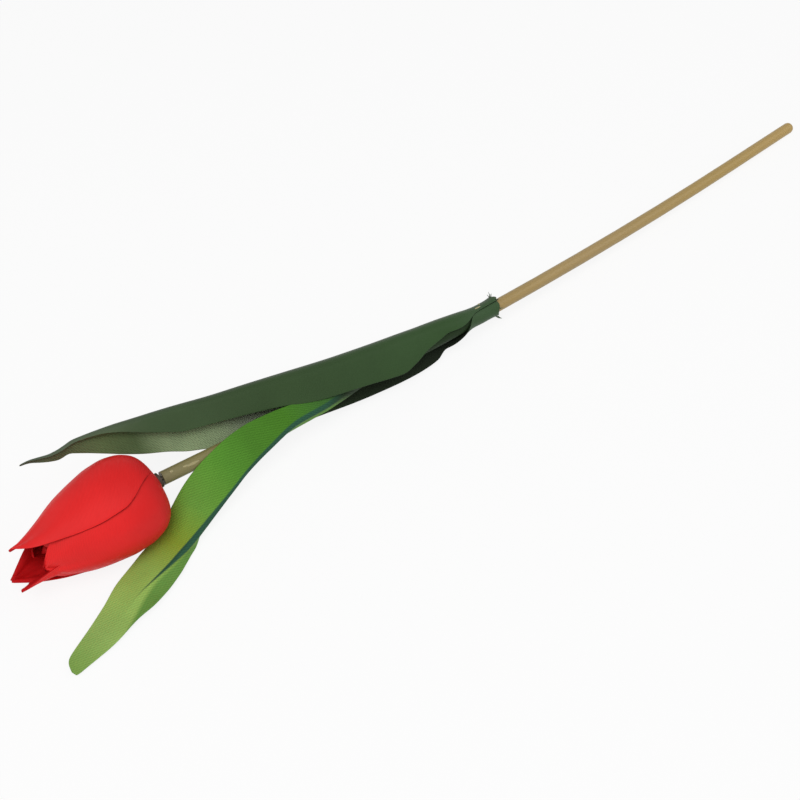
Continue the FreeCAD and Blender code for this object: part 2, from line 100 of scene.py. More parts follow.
def stem_place(run):
    """Point and direction of the stem's axis at a run from the foot, straight on past its end."""
    if run <= FOOT_RUN:
        return FOOT_POINT + FOOT_AXIS * run, FOOT_AXIS.copy()
    angle = min((run - FOOT_RUN) / BEND_RADIUS, BEND_ANGLE)
    point = (FOOT_POINT + FOOT_AXIS * (FOOT_RUN + BEND_RADIUS * math.sin(angle))
             + BEND_SIDE * (BEND_RADIUS * (1 - math.cos(angle))))
    tangent = (FOOT_AXIS * math.cos(angle) + BEND_SIDE * math.sin(angle)).normalized()
    return point + tangent * max(run - FOOT_RUN - BEND_RUN, 0), tangent


print("neck at", [round(v, 4) for v in stem_place(FOOT_RUN + BEND_RUN)[0]])

# %% [markdown]
# ## Reading a table smoothly
# A leaf is described by a short table of its cross-sections. Between the rows the numbers have to
# change smoothly and must not swing past the values in the table, or the cloth would get lumps.
# A cubic with limited slopes does that.


# %% A smooth reader for tables
def smooth_table(rows):
    """A function that reads a table of rows smoothly; the first column is the place."""
    table = np.array(rows, float)
    places, values = table[:, 0], table[:, 1:]
    steps = np.diff(places)[:, None]
    slopes = np.diff(values, axis=0) / steps
    tangents = np.zeros_like(values)
    tangents[0], tangents[-1] = slopes[0], slopes[-1]
    same_way = slopes[:-1] * slopes[1:] > 0
    mean = 2 * slopes[:-1] * slopes[1:] / np.where(same_way, slopes[:-1] + slopes[1:], 1)
    tangents[1:-1] = np.where(same_way, mean, 0)

    def read(place):
        row = int(np.clip(np.searchsorted(places, place) - 1, 0, len(places) - 2))
        step = places[row + 1] - places[row]
        share = float(np.clip((place - places[row]) / step, 0, 1))
        square, cube = share ** 2, share ** 3
        return ((2 * cube - 3 * square + 1) * values[row] + (cube - 2 * square + share) * step * tangents[row]
                + (3 * square - 2 * cube) * values[row + 1] + (cube - square) * step * tangents[row + 1])

    return read


# %% [markdown]
# ## Sheets of cloth
# Every leaf and petal starts as a flat grid, like the cut piece of cloth. Each grid point is then
# moved to its place on the formed leaf. The piece's UV map keeps the flat place in millimetres, so
# that the weave follows the cloth round every fold. A Solidify modifier gives the cloth its
# thickness, with the inside in a material of its own, and a subdivision rounds what is left.


# %% Make a formed sheet
def form_sheet(name, across, along, place, thickness, offset):
    """A grid of across by along faces; place(a, b) gives each point and its flat place in mm."""
    mesh = bpy.data.meshes.new(name)
    bm = bmesh.new()
    bmesh.ops.create_grid(bm, x_segments=across, y_segments=along, size=0.5)
    uv_layer = bm.loops.layers.uv.new("flat")
    flat = {}
    for vertex in bm.verts:
        point, flat[vertex] = place(vertex.co.x + 0.5, vertex.co.y + 0.5)
        vertex.co = point
    for face in bm.faces:
        face.smooth = True
        for loop in face.loops:
            loop[uv_layer].uv = flat[loop.vert]
    bm.to_mesh(mesh)
    bm.free()
    piece = bpy.data.objects.new(name, mesh)
    bpy.context.scene.collection.objects.link(piece)
    area = sum(polygon.area for polygon in mesh.polygons)
    thick = piece.modifiers.new("cloth", "SOLIDIFY")
    thick.thickness = thickness
    thick.offset = offset
    thick.use_even_offset = True
    thick.material_offset = 1
    thick.material_offset_rim = 1
    smooth = piece.modifiers.new("round", "SUBSURF")
    smooth.levels = smooth.render_levels = 1
    print(name, "area", round(area * 1e6), "square mm,", len(mesh.polygons), "faces")
    return piece, area


def section_point(arcs, fold_index, heading, part, share):
    """A point on a chain of (length, turn) arcs, seen from the middle of the fold's arc."""
    def walk(index, stop):
        x = y = angle = 0.0
        for number, (length, turn) in enumerate(arcs[:index + 1]):
            reach = stop if number == index else 1.0
            radius = length / turn
            passed = angle + turn * reach
            x += radius * (math.sin(passed) - math.sin(angle))
            y -= radius * (math.cos(passed) - math.cos(angle))
            angle = passed
        return x, y, angle

    fold_x, fold_y, fold_angle = walk(fold_index, 0.5)
    x, y, angle = walk(part, share)
    twist = heading - fold_angle
    moved_x = (x - fold_x) * math.cos(twist) - (y - fold_y) * math.sin(twist)
    moved_y = (x - fold_x) * math.sin(twist) + (y - fold_y) * math.cos(twist)
    return moved_x, moved_y, angle + twist


def ripple(along, across, seed):
    """A soft, even unrest of the cloth, from -1 to 1."""
    return (math.sin(along * 0.11 + across * 0.23 + seed) * 0.5
            + math.sin(along * 0.041 - across * 0.31 + seed * 2.3) * 0.3
            + math.sin(along * 0.27 + across * 0.12 + seed * 0.7) * 0.2)


# %% [markdown]
# ## The long dark leaf
# The long leaf is wrapped once round the stem, where its edge crosses the wrap slantwise. Then it
# opens into a trough with its fold on top. The flap towards the viewer is short and the wall behind
# is long, so the lighter inside of the wall shows below the flap near the bloom. The table holds,
# for each place along the stem in mm: height of the fold over the stem, sideways place, length and
# turn of the flap, radius and turn of the fold, and length and turn of the back wall. Its numbers
# began as distances worked out from points on the photograph, and were then corrected to
# bring the outlines together.

# %% The long leaf's sections
LONG_LEAF_ROWS = (
    (193.4, 3.95, 0.0, 0.4, -6, 3.90, -100, 16.3, -270),
    (201.0, 3.95, 0.0, 0.4, -6, 3.90, -100, 16.2, -268),
    (206.0, 4.35, 0.0, 0.8, -10, 3.95, -112, 15.0, -240),
    (210.0, 5.00, 0.0, 1.9, -14, 4.10, -140, 12.2, -165),
    (214.5, 5.65, 0.0, 2.2, -10, 4.25, -165, 9.0, -85),
    (219.8, 6.39, 0.0, 1.9, -8, 4.35, -175, 8.0, -26),
    (225.0, 7.00, 0.0, 3.4, -6, 4.25, -175, 10.9, -12),
    (231.9, 7.72, 0.0, 5.5, -5, 4.15, -176, 12.5, -7),
    (238.0, 8.45, 0.0, 8.4, -4, 4.16, -176, 13.4, -5),
    (246.0, 9.38, -0.1, 10.8, -4, 4.18, -176, 14.1, -4),
    (261.9, 11.29, -0.1, 10.0, -3, 4.18, -176, 14.9, -3),
    (279.9, 13.70, 0.0, 9.6, -3, 4.11, -176, 15.4, -3),
    (297.9, 16.22, 0.6, 7.8, -3, 3.50, -176, 16.3, -3),
    (315.0, 18.43, 1.8, 7.2, -3, 2.79, -176, 16.2, -3),
    (329.9, 20.67, 3.6, 7.5, -4, 2.21, -174, 14.9, -4),
    (337.0, 21.60, 4.3, 6.0, -4, 1.95, -170, 13.1, -5),
    (344.9, 22.50, 5.0, 3.6, -5, 1.70, -165, 11.5, -6),
    (351.0, 23.20, 5.5, 1.7, -6, 1.50, -158, 9.8, -8),
    (358.0, 23.78, 6.0, 0.5, -6, 1.29, -150, 7.2, -8),
    (362.0, 24.05, 6.0, 0.4, -8, 1.10, -145, 5.8, 4),
    (366.0, 24.20, 6.0, 0.3, -8, 1.00, -140, 4.4, 14),
    (369.0, 23.65, 5.9, 0.3, -8, 0.95, -135, 3.0, 18),
    (372.0, 23.15, 5.8, 0.3, -8, 0.90, -130, 3.2, 20),
    (375.0, 23.00, 5.6, 0.3, -8, 0.80, -120, 2.3, 0),
    (378.0, 23.40, 5.5, 0.3, -8, 0.60, -110, 1.8, -14),
    (382.5, 23.95, 5.2, 0.2, -8, 0.40, -90, 0.7, -10),
    (385.5, 23.75, 5.0, 0.1, -8, 0.25, -60, 0.2, -10),
)
LONG_LEAF_START, LONG_LEAF_END = LONG_LEAF_ROWS[0][0], LONG_LEAF_ROWS[-1][0]
TROUGH_LEAN = math.radians(45)
CLOTH = 0.5 * MM
# How the grid across is shared out over the flap, the fold and the wall
FLAP_SHARE, FOLD_SHARE, WALL_SHARE = 0.3, 0.3, 0.4
WALL_BEGINS = 0.6
# The wrap's cut end is frayed over a sixtieth of the leaf, and flares a little
FRAY_RATE = 60
FRAY_DEPTH = 0.9
FLARE_SHARE = 0.10
# Cloth comes loose from a place on, over a length, and is calm again at the tip, in mm
LOOSE_FROM, LOOSE_OVER = 214, 30
CALM_TIP = 25
read_long_leaf = smooth_table(LONG_LEAF_ROWS)


def trough_axes(tangent):
    """Sideways and rise directions of the long leaf's trough, which leans back."""
    side, rise = level_axes(tangent)
    lean_rise = rise * math.cos(TROUGH_LEAN) + side * math.sin(TROUGH_LEAN)
    return tangent.cross(lean_rise), lean_rise


def long_leaf_place(across, along):
    """Place on the formed long leaf: across from the flap's edge to the wall's edge."""
    run = LONG_LEAF_START + (LONG_LEAF_END - LONG_LEAF_START) * along
    ragged = max(1 - along * FRAY_RATE, 0)
    height, middle, flap, flap_turn, fold, fold_turn, wall, wall_turn = read_long_leaf(run)
    fold_length = abs(math.radians(fold_turn)) * fold
    arcs = ((flap, math.radians(flap_turn)), (fold_length, math.radians(fold_turn)),
            (wall, math.radians(wall_turn)))
    if across < FLAP_SHARE:
        part, share = 0, across / FLAP_SHARE
    elif across < WALL_BEGINS:
        part, share = 1, (across - FLAP_SHARE) / FOLD_SHARE
    else:
        part, share = 2, (across - WALL_BEGINS) / WALL_SHARE
    x, y, angle = section_point(arcs, 1, 0.0, part, share)
    reach = (-flap - fold_length / 2, -fold_length / 2, fold_length / 2)[part]
    flat_across = reach + (flap, fold_length, wall)[part] * share
    free = min(max((run - LOOSE_FROM) / LOOSE_OVER, 0), 1)
    calm = min((LONG_LEAF_END - run) / CALM_TIP, 1)
    edge = max((FLAP_SHARE - across) / FLAP_SHARE, (across - WALL_BEGINS) / WALL_SHARE, 0)
    unrest = ripple(run, flat_across, 0.4) * (0.10 + 0.30 * edge ** 2) * free * calm
    x -= math.sin(angle) * unrest
    y += math.cos(angle) * unrest
    point, tangent = stem_place(run * MM)
    side, rise = trough_axes(tangent)
    fray = FRAY_DEPTH * ragged * math.sin(across * 31) * math.sin(across * 12 + 1)
    flare = 1 + FLARE_SHARE * ragged
    point = point + (side * (x + middle) * flare + rise * (y + height) * flare - tangent * fray) * MM
    return point, (flat_across, run)


long_leaf, long_leaf_area = form_sheet("long_leaf_cloth", 60, 150, long_leaf_place, CLOTH, 0.0)

# %% [markdown]
# ## The short bright leaf
# The short leaf clasps the stem under the long one, leaves it sideways and comes down to the table.
# It is creased along its length: a broad half shows its woven face, and a narrow half is turned
# under it and opens only beyond the bloom. Its table holds: place of the crease from the clasp's end
# along the stem, its place sideways and up, then the broad half and its turn, its slope at the
# crease, radius and turn of the crease, and the narrow half and its turn. Its numbers came about in
# the same way as the long leaf's.

# %% The short leaf's sections
CLASP_END = 270 * MM
SHORT_LEAF_ROWS = (
    (-71.0, -2.00, 2.00, 5.4, 112, 30, 2.80, 30, 5.4, 112),
    (-30.0, -2.00, 2.00, 5.4, 112, 30, 2.80, 30, 5.2, 108),
    (-12.0, -2.20, 2.10, 5.2, 90, 32, 2.40, 36, 4.0, 80),
    (0.4, -3.30, 0.60, 4.6, 30, 47, 1.40, 46, 2.6, 20),
    (10.7, -4.35, 0.10, 4.2, 8, 51, 0.75, 50, 2.2, -3),
    (20.6, -4.40, -0.27, 6.5, 6, 50, 0.84, 60, 2.8, -4),
    (35.9, -6.35, -3.75, 12.1, 6, 53, 0.88, 100, 4.2, -5),
    (46.1, -8.40, -6.70, 14.2, 6, 52, 0.90, 122, 4.4, -6),
    (54.1, -10.9, -9.10, 15.0, 6, 48, 0.90, 130, 4.2, -8),
    (70.4, -16.8, -12.4, 13.3, 6, 12, 0.90, 122, 3.4, -16),
    (78.4, -19.8, -13.2, 12.9, 6, -7, 0.90, 106, 2.7, -40),
    (82.5, -21.1, -13.5, 12.9, 6, -7, 0.90, 76, 3.0, -36),
    (86.8, -22.4, -13.9, 12.8, 6, -6, 0.90, 46, 3.9, -32),
    (94.0, -24.2, -14.5, 11.4, 5, -5, 0.90, 30, 5.4, -28),
    (101.4, -26.1, -15.1, 9.9, 5, -4, 0.90, 18, 6.3, -24),
    (109.0, -29.0, -16.3, 8.2, 5, -3, 0.80, 10, 4.7, -14),
    (117.3, -32.2, -17.5, 7.1, 4, -2, 0.70, 6, 4.1, -8),
    (127.0, -35.7, -18.5, 5.6, 3, -1, 0.40, 4, 2.3, -5),
    (129.4, -36.6, -18.6, 4.9, 3, -1, 0.35, 4, 1.8, -5),
    (131.0, -37.2, -18.7, 3.5, 3, -1, 0.30, 4, 1.5, -4),
    (132.4, -37.7, -18.7, 0.7, 3, -1, 0.25, 4, 1.0, -4),
)
SHORT_LEAF_START, SHORT_LEAF_END = SHORT_LEAF_ROWS[0][0], SHORT_LEAF_ROWS[-1][0]
# How the grid across is shared out over the broad half, the crease and the narrow half
BROAD_SHARE, CREASE_SHARE, NARROW_SHARE = 0.5, 0.16, 0.34
NARROW_BEGINS = 0.66
TANGENT_STEP = 1.5
read_short_leaf = smooth_table(SHORT_LEAF_ROWS)
clasp_point, clasp_tangent = stem_place(CLASP_END)
clasp_side, clasp_rise = level_axes(clasp_tangent)


def short_leaf_fold(place):
    """A point on the short leaf's crease."""
    side, up = read_short_leaf(place)[:2]
    if place < 0:
        point, tangent = stem_place(CLASP_END + place * MM)
        across, rise = level_axes(tangent)
        return point + (across * side + rise * up) * MM
    return clasp_point + (clasp_tangent * place + clasp_side * side + clasp_rise * up) * MM


def short_leaf_place(across, along):
    """Place on the formed short leaf: across from the broad edge to the narrow edge."""
    run = SHORT_LEAF_START + (SHORT_LEAF_END - SHORT_LEAF_START) * along
    broad, broad_turn, slope, fold, fold_turn, narrow, narrow_turn = read_short_leaf(run)[2:]
    heading = 180 + slope + fold_turn / 2
    fold_length = math.radians(fold_turn) * fold
    arcs = ((broad, math.radians(broad_turn)), (fold_length, math.radians(fold_turn)),
            (narrow, math.radians(narrow_turn)))
    if across < BROAD_SHARE:
        part, share = 0, across / BROAD_SHARE
    elif across < NARROW_BEGINS:
        part, share = 1, (across - BROAD_SHARE) / CREASE_SHARE
    else:
        part, share = 2, (across - NARROW_BEGINS) / NARROW_SHARE
    x, y, angle = section_point(arcs, 1, math.radians(heading), part, share)
    reach = (-broad - fold_length / 2, -fold_length / 2, fold_length / 2)[part]
    flat_across = reach + (broad, fold_length, narrow)[part] * share
    free = min(max((run - 26) / 20, 0), 1) * min((SHORT_LEAF_END + 6 - run) / CALM_TIP, 1)
    edge = max((BROAD_SHARE - across) / BROAD_SHARE, (across - NARROW_BEGINS) / NARROW_SHARE, 0)
    unrest = ripple(run, flat_across, 2.1) * (0.12 + 0.18 * edge ** 2) * free
    x -= math.sin(angle) * unrest
    y += math.cos(angle) * unrest
    before = short_leaf_fold(max(run - TANGENT_STEP, SHORT_LEAF_START))
    after = short_leaf_fold(min(run + TANGENT_STEP, SHORT_LEAF_END))
    side, rise = level_axes((after - before).normalized())
    return short_leaf_fold(run) + (side * x + rise * y) * MM, (flat_across, run)


short_leaf, short_leaf_area = form_sheet("short_leaf_cloth", 50, 150, short_leaf_place, CLOTH, 0.0)

# %% [markdown]
# ## The petals
# The bloom is six heat-formed petals in two whorls. Each one laps over one neighbour and is tucked
# under the other, like the blades of a shutter, so every petal's circle is shifted a little to one
# side. The outline of the closed bloom, from the neck to the tips, sets how far out a petal stands;
# each petal ends in its own point. A shallow crease runs along the middle of each one, and the free
# edges roll outwards a little.

# %% The bloom's own axes and outline
BLOOM_LENGTH = 58.0
BLOOM_RADIUS = 17.0
NECK_HOLE = 3.05
PETAL_WALL = 0.5
PETAL_TUCK = 0.45
BLOOM_LIFT = 0.6
bloom_joint = next(joint for joint in frame["joints"] if joint["name"] == "bloom_turn")
BLOOM_BASE = Vector(bloom_joint["pos_m"])
BLOOM_AXIS = Vector(bloom_joint["axis"]).normalized()
BLOOM_SIDE, BLOOM_RISE = level_axes(BLOOM_AXIS)
BLOOM_OUTLINE = (
    (0.0, 0.215), (0.012, 0.38), (0.035, 0.60), (0.07, 0.775), (0.14, 0.93), (0.24, 1.0), (0.31, 1.0),
    (0.43, 0.95), (0.57, 0.84), (0.72, 0.665), (0.86, 0.50), (0.94, 0.42), (1.0, 0.37),
)
PETAL_WIDTHS = (
    (0.0, 59.5), (0.03, 60), (0.07, 63), (0.14, 70), (0.24, 80), (0.31, 84), (0.43, 84), (0.57, 80),
    (0.72, 69), (0.86, 50), (0.94, 28), (0.98, 9), (1.0, 1),
)
read_outline = smooth_table(BLOOM_OUTLINE)
read_width = smooth_table(PETAL_WIDTHS)


def bloom_point(along, radius, roll, tuck_roll, tuck):
    """A point of the bloom from its distance along the axis, radius and roll, in mm."""
    x = radius * math.cos(roll) + tuck * math.cos(tuck_roll)
    y = radius * math.sin(roll) + tuck * math.sin(tuck_roll)
    return BLOOM_BASE + (BLOOM_AXIS * along + BLOOM_RISE * x + BLOOM_SIDE * y) * MM


# %% Form the petals
CREASE_DEPTH = 0.4
LIP_ROLL = 0.25
PINCH_DEPTH = 0.28
# Roll, share of the bloom's length, lean of the tip, inset, seed, and flat width and length in mm
PETALS = (
    ("outer_petal_1", 41, 0.93, -0.10, 0.45, 0.3, 49.5, 62.5),
    ("outer_petal_2", -79, 0.825, 0.08, 0.45, 1.9, 49, 58.5),
    ("outer_petal_3", 161, 1.0, 0.06, 0.45, 3.1, 47.5, 66.5),
    ("inner_petal_1", -19, 0.76, 0.16, 2.0, 4.4, 45, 55),
    ("inner_petal_2", 101, 0.84, 0.12, 2.0, 5.2, 44, 56.5),
    ("inner_petal_3", -139, 1.0, -0.13, 2.0, 0.9, 43, 63),
)


def petal_placer(roll, length_share, lean_share, inset, seed):
    """The place function of one petal."""
    def place(across, along):
        share = along ** 1.25
        length = share * BLOOM_LENGTH * (1 + (length_share - 1) * share ** 4)
        distance = inset + (length - inset * share * 0.4) * (1 - inset / BLOOM_LENGTH)
        slope = (read_outline(min(share + 0.01, 1))[0] - read_outline(max(share - 0.01, 0))[0]) / 0.02
        slope *= BLOOM_RADIUS / BLOOM_LENGTH
        tilt = math.sqrt(1 + slope ** 2)
        radius = read_outline(share)[0] * BLOOM_RADIUS - inset / tilt * min(share / 0.1, 1)
        radius -= lean_share * BLOOM_RADIUS * max((share - 0.7) / 0.3, 0) ** 2
        base = max(1 - share / 0.03, 0)
        radius = radius * (1 - base) + NECK_HOLE * base
        half = math.radians(read_width(share)[0])
        offset = (across - 0.5) * 2
        angle = math.radians(roll) + offset * half
        body = min(share / 0.25, 1)
        belly = math.exp(-((share - 0.45) / 0.2) ** 2)
        crease = -CREASE_DEPTH * math.exp(-(offset / 0.10) ** 2) * body * (1 - 0.7 * belly)
        lip = LIP_ROLL * max(abs(offset) - 0.8, 0) / 0.2 * body
        pinch = PINCH_DEPTH * math.cos(offset * 9 + seed) * min(max((share - 0.35) / 0.4, 0), 1)
        unrest = (0.2 * ripple(length * 1.5, offset * 11, seed) + BLOOM_LIFT * math.cos(angle)) * body
        tuck = PETAL_TUCK * min(share / 0.1, 1)
        out = radius + crease + lip + pinch + unrest
        point = bloom_point(distance, out, angle, math.radians(roll - 90), tuck)
        return point, (offset * half * max(radius, 1), length)
    return place


petals = []
for name, roll, length_share, lean_share, inset, seed, flat_width, flat_length in PETALS:
    place = petal_placer(roll, length_share, lean_share, inset, seed)
    petal, petal_area = form_sheet(name + "_cloth", 28, 44, place, PETAL_WALL * MM, -1.0)
    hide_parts(name)
    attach(petal, "bloom")
    petals.append((petal, petal_area, (flat_width * MM, flat_length * MM)))

# %% [markdown]
# ## Materials
# The cloth's weave is one node group that every cloth material uses. It makes two sets of threads
# from the flat place in the UV map, and gives their height for a Bump node and a mask that is high
# between the threads.


# %% The weave group
def new_group(name, inputs, outputs):
    """A shader node group with named sockets; returns it with its input and output nodes."""
    group = bpy.data.node_groups.new(name, "ShaderNodeTree")
    for socket, kind, value in inputs:
        made = group.interface.new_socket(name=socket, in_out="INPUT", socket_type=kind)
        if value is not None:
            made.default_value = value
    for socket, kind in outputs:
        group.interface.new_socket(name=socket, in_out="OUTPUT", socket_type=kind)
    return group, group.nodes.new("NodeGroupInput"), group.nodes.new("NodeGroupOutput")


def math_node(tree, operation, first, second=None):
    """A Math node between sockets or numbers."""
    node = tree.nodes.new("ShaderNodeMath")
    node.operation = operation
    for socket, value in zip(node.inputs, (first, second)):
        if isinstance(value, bpy.types.NodeSocket):
            tree.links.new(value, socket)
        elif value is not None:
            socket.default_value = value
    return node.outputs[0]


FULL_TURN = 6.28318
weave, weave_in, weave_out = new_group(
    "woven threads",
    [("Flat Place", "NodeSocketVector", None), ("Thread mm", "NodeSocketFloat", 0.6),
     ("Slant", "NodeSocketFloat", 0.0), ("Rib", "NodeSocketFloat", 0.5)],
    [("Height", "NodeSocketFloat"), ("Between", "NodeSocketFloat")])
split = weave.nodes.new("ShaderNodeSeparateXYZ")
weave.links.new(weave_in.outputs["Flat Place"], split.inputs[0])
slanted = math_node(weave, "MULTIPLY", split.outputs[1], weave_in.outputs["Slant"])
warp_place = math_node(weave, "ADD", split.outputs[0], slanted)
turns = math_node(weave, "DIVIDE", FULL_TURN, weave_in.outputs["Thread mm"])
warp = math_node(weave, "SINE", math_node(weave, "MULTIPLY", warp_place, turns))
weft = math_node(weave, "SINE", math_node(weave, "MULTIPLY", split.outputs[1], turns))
ribbed = math_node(weave, "MULTIPLY", warp, weave_in.outputs["Rib"])
crossed = math_node(weave, "MULTIPLY", math_node(weave, "MULTIPLY", warp, weft),
                    math_node(weave, "SUBTRACT", 1.0, weave_in.outputs["Rib"]))
height = math_node(weave, "ADD", ribbed, crossed)
weave.links.new(height, weave_out.inputs["Height"])
between = math_node(weave, "MULTIPLY_ADD", height, -0.5)
between.node.inputs[2].default_value = 0.5
weave.links.new(between, weave_out.inputs["Between"])

# %% [markdown]
# ## Tone and bands
# A second group gives slow, cloudy changes of tone, as dyed cloth has, and darkens the gaps between
# the threads. A third is a mask for a band along a leaf, which can narrow to nothing further on; the
# leaves use it to paint shade and sheen.

# %% The tone and the band groups
tone, tone_in, tone_out = new_group(
    "dyed tone",
    [("Place", "NodeSocketVector", None), ("Colour", "NodeSocketColor", (0.5, 0.5, 0.5, 1)),
     ("Lift", "NodeSocketFloat", 0.1), ("Size", "NodeSocketFloat", 60.0),
     ("Between", "NodeSocketFloat", 0.5), ("Thread Shade", "NodeSocketFloat", 0.0)],
    [("Colour", "NodeSocketColor")])
cloud = tone.nodes.new("ShaderNodeTexNoise")
cloud.inputs["Detail"].default_value = 3.0
tone.links.new(tone_in.outputs["Place"], cloud.inputs["Vector"])
tone.links.new(tone_in.outputs["Size"], cloud.inputs["Scale"])
swing = math_node(tone, "SUBTRACT", math_node(tone, "MULTIPLY", cloud.outputs["Fac"], 4.0), 2.0)
lifted = math_node(tone, "ADD", math_node(tone, "MULTIPLY", swing, tone_in.outputs["Lift"]), 1.0)
shade = math_node(tone, "SUBTRACT", 1.0,
                  math_node(tone, "MULTIPLY", tone_in.outputs["Between"], tone_in.outputs["Thread Shade"]))
scaled = tone.nodes.new("ShaderNodeVectorMath")
scaled.operation = "SCALE"
tone.links.new(tone_in.outputs["Colour"], scaled.inputs[0])
tone.links.new(math_node(tone, "MULTIPLY", lifted, shade), scaled.inputs["Scale"])
tone.links.new(scaled.outputs[0], tone_out.inputs["Colour"])

# The band mask carries painted light: painted shade and a painted sheen on the leaves.
band, band_in, band_out = new_group(
    "band along the leaf",
    [("Flat Place", "NodeSocketVector", None), ("Centre", "NodeSocketFloat", 0.0),
     ("Half Width", "NodeSocketFloat", 1.0), ("Softness", "NodeSocketFloat", 0.4),
     ("Fade Start", "NodeSocketFloat", 900.0), ("Fade End", "NodeSocketFloat", 1000.0)],
    [("Mask", "NodeSocketFloat")])
split = band.nodes.new("ShaderNodeSeparateXYZ")
band.links.new(band_in.outputs["Flat Place"], split.inputs[0])
fade = band.nodes.new("ShaderNodeMapRange")
band.links.new(split.outputs[1], fade.inputs["Value"])
band.links.new(band_in.outputs["Fade Start"], fade.inputs["From Min"])
band.links.new(band_in.outputs["Fade End"], fade.inputs["From Max"])
fade.inputs["To Min"].default_value = 1.0
fade.inputs["To Max"].default_value = 0.0
half = math_node(band, "MULTIPLY", band_in.outputs["Half Width"], fade.outputs["Result"])
away = math_node(band, "ABSOLUTE", math_node(band, "SUBTRACT", split.outputs[0], band_in.outputs["Centre"]))
inside = math_node(band, "DIVIDE", math_node(band, "SUBTRACT", half, away), band_in.outputs["Softness"])
inside.node.use_clamp = True
band.links.new(inside, band_out.inputs["Mask"])
print("groups", [group.name for group in bpy.data.node_groups])

# %% [markdown]
# ## Cloth materials
# One function makes every cloth: colours along the piece, bands over them, threads and clouds. The
# petals are bright red with a faint rib. The dark leaf is smooth outside and shows coarse threads
# inside, and the bright leaf shows its weave on its broad face. Colours were chosen against places
# looked at in the photograph. Several carry painted light: painted shade towards the bloom's neck, on
# the petals' inside, in the dark leaf's wrap, and on the bright leaf's clasp, narrow half and crease,
# and a painted sheen on the dark leaf's fold and tip.


# %% Cloth materials
def linear(hex_colour):
    """A hex colour as the linear values that nodes use."""
    channels = [int(hex_colour[i:i + 2], 16) / 255 for i in (1, 3, 5)]
    return tuple([c / 12.92 if c <= 0.04045 else ((c + 0.055) / 1.055) ** 2.4 for c in channels] + [1.0])


def colour_stops(tree, value, stops):
    """A colour that follows a value in mm through stops of (mm, hex colour)."""
    low, high = stops[0][0], stops[-1][0]
    reach = tree.nodes.new("ShaderNodeMapRange")
    reach.inputs["From Min"].default_value = low
    reach.inputs["From Max"].default_value = high
    tree.links.new(value, reach.inputs["Value"])
    ramp = tree.nodes.new("ShaderNodeValToRGB")
    ramp.color_ramp.elements[0].color = linear(stops[0][1])
    ramp.color_ramp.elements[1].color = linear(stops[-1][1])
    for place, colour in stops[1:-1]:
        ramp.color_ramp.elements.new((place - low) / (high - low)).color = linear(colour)
    tree.links.new(reach.outputs["Result"], ramp.inputs["Fac"])
    return ramp.outputs["Color"]


def cloth_material(name, stops, bands=(), thread=0.9, slant=0.7, rib=0.6, thread_shade=0.15, bump=0.3,
                   roughness=0.6, sheen=0.0, lift=0.10):
    """A woven cloth material on the piece's flat UV map, with colours along it and bands."""
    material = bpy.data.materials.new(name)
    material.use_nodes = True
    tree = material.node_tree
    shader = tree.nodes["Principled BSDF"]
    flat_map = tree.nodes.new("ShaderNodeUVMap")
    flat_map.uv_map = "flat"
    parted = tree.nodes.new("ShaderNodeSeparateXYZ")
    tree.links.new(flat_map.outputs[0], parted.inputs[0])
    colour = colour_stops(tree, parted.outputs[1], stops)
    for band_colour, *numbers in bands:
        mask = tree.nodes.new("ShaderNodeGroup")
        mask.node_tree = band
        for key, number in zip(("Centre", "Half Width", "Softness", "Fade Start", "Fade End"), numbers):
            mask.inputs[key].default_value = number
        tree.links.new(flat_map.outputs[0], mask.inputs["Flat Place"])
        mixed = tree.nodes.new("ShaderNodeMix")
        mixed.data_type = "RGBA"
        mixed.inputs[7].default_value = linear(band_colour)
        tree.links.new(mask.outputs[0], mixed.inputs[0])
        tree.links.new(colour, mixed.inputs[6])
        colour = mixed.outputs[2]
    threads = tree.nodes.new("ShaderNodeGroup")
    threads.node_tree = weave
    for key, number in (("Thread mm", thread), ("Slant", slant), ("Rib", rib)):
        threads.inputs[key].default_value = number
    tree.links.new(flat_map.outputs[0], threads.inputs["Flat Place"])
    coordinates = tree.nodes.new("ShaderNodeTexCoord")
    dye = tree.nodes.new("ShaderNodeGroup")
    dye.node_tree = tone
    dye.inputs["Lift"].default_value = lift
    dye.inputs["Thread Shade"].default_value = thread_shade
    tree.links.new(coordinates.outputs["Object"], dye.inputs["Place"])
    tree.links.new(colour, dye.inputs["Colour"])
    tree.links.new(threads.outputs["Between"], dye.inputs["Between"])
    tree.links.new(dye.outputs[0], shader.inputs["Base Color"])
    relief = tree.nodes.new("ShaderNodeBump")
    relief.inputs["Strength"].default_value = bump
    relief.inputs["Distance"].default_value = 0.1 * MM
    tree.links.new(threads.outputs["Height"], relief.inputs["Height"])
    tree.links.new(relief.outputs[0], shader.inputs["Normal"])
    shader.inputs["Roughness"].default_value = roughness
    shader.inputs["Sheen Weight"].default_value = sheen
    shader.inputs["Sheen Roughness"].default_value = 0.4
    shader.inputs["Specular IOR Level"].default_value = 0.14
    return material


# %% The six cloths
# Painted shade: the outside red darkens towards the neck, below about 9 mm.
petal_outside = cloth_material(
    "petal cloth", ((0, "#C4181C"), (9, "#E42424"), (22, "#F22A2A"), (45, "#F42D2D"), (60, "#E8282A")),
    slant=1.7, rib=0.8, thread_shade=0.10, bump=0.35, roughness=0.5, lift=0.05)
# Painted shade: the inside reds are darker than the outside, and less so towards the tips.
petal_inside = cloth_material(
    "petal cloth inside", ((0, "#A8080C"), (35, "#B60A0E"), (60, "#D01418")),
    slant=1.7, rib=0.8, thread_shade=0.12, roughness=0.7, lift=0.05)
# Painted sheen: the greyer band along the top of the fold, and the greyer greens towards the tip.
long_outside = cloth_material(
    "dark leaf cloth",
    ((195, "#3C5636"), (205, "#3E5838"), (216, "#34502B"), (300, "#354A2B"), (340, "#3E5233"),
     (366, "#59674C"), (386, "#5F6B55")),
    bands=(("#4E594A", 0.5, 3.4, 4.0, 900, 1000),),
    thread=0.8, slant=0.6, rib=0.4, thread_shade=0.06, bump=0.12, roughness=0.45, sheen=0.05, lift=0.09)
